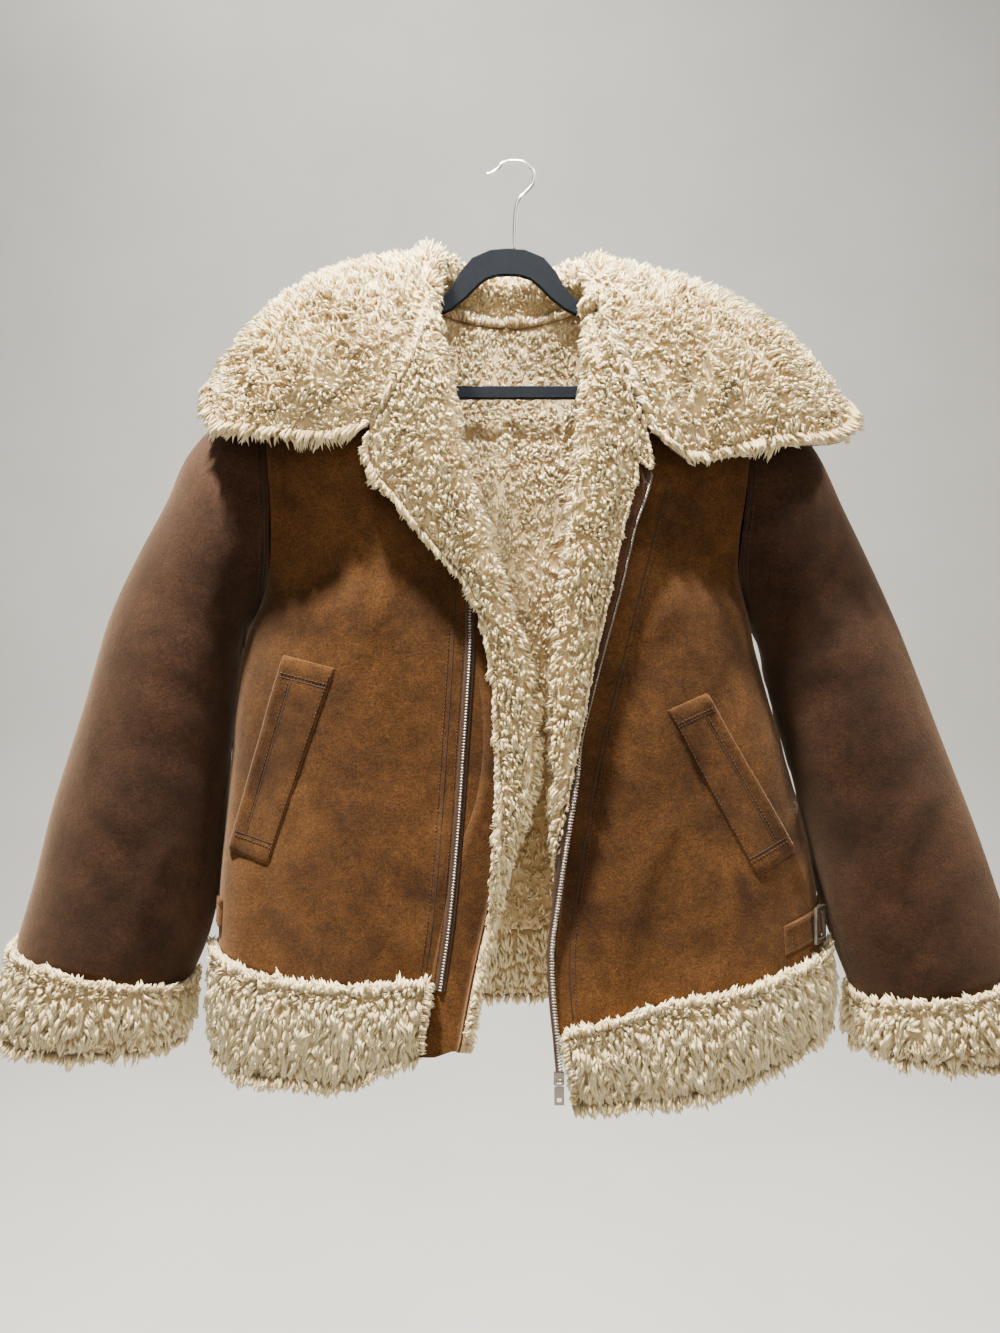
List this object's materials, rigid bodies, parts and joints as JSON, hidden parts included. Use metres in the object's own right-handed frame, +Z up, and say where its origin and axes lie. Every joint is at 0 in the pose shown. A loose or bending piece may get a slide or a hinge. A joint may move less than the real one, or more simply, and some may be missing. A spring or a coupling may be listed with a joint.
{
  "type": "shearling jacket on a hanger",
  "caption": "Hip-length shearling jacket, suede outside and fur inside, hanging open on a flat hanger, with a wide fur collar, fur cuffs and hem, slanted pockets and side straps.",
  "frame": {"origin": "highest point inside the hanger's hook, where a rail or nail touches it", "axes": "+X to the viewer's right across the sleeves, +Y towards the jacket's back, +Z up"},
  "size_m": [0.9818, 0.2152, 0.8649],
  "materials": {
    "suede": "napped suede",
    "suede_dark": "napped suede, darker",
    "fur": "shearling fur, cream",
    "fur_grey": "long shearling fur, greyer cream",
    "zip_metal": "worn nickel",
    "buckle_metal": "worn nickel",
    "chrome": "bright wire",
    "flock": "velvet flock over plastic"
  },
  "bodies": {
    "jacket": {"back": "suede", "buckle_left": "buckle_metal", "buckle_right": "buckle_metal", "collar_fur": "fur", "collar_under": "suede", "cuff_left": "fur_grey", "cuff_right": "fur_grey", "facing_right": "suede_dark", "flap_left": "suede", "front_left": "suede", "front_right": "suede", "hanger_arms": "flock", "hanger_bar": "flock", "hanger_hook": "chrome", "hem_back": "fur_grey", "hem_left": "fur_grey", "hem_right": "fur_grey", "lapel_fur_left": "fur", "lining_back": "fur", "lining_front_left": "fur", "lining_front_right": "fur", "pocket_left": "suede", "pocket_right": "suede", "sleeve_left": "suede", "sleeve_right": "suede", "strap_left": "suede", "strap_right": "suede", "zip_left": "zip_metal", "zip_right": "zip_metal", "zip_slider": "zip_metal"},
    "zip_pull": {"zip_pull": "zip_metal"}
  },
  "joints": [
    {"name": "zip_pull_hinge", "type": "hinge", "parent": "jacket", "child": "zip_pull", "pos_m": [0.0425, -0.1204, -0.8435], "axis": [1, 0, 0], "range_deg": [-165, 25]}
  ]
}
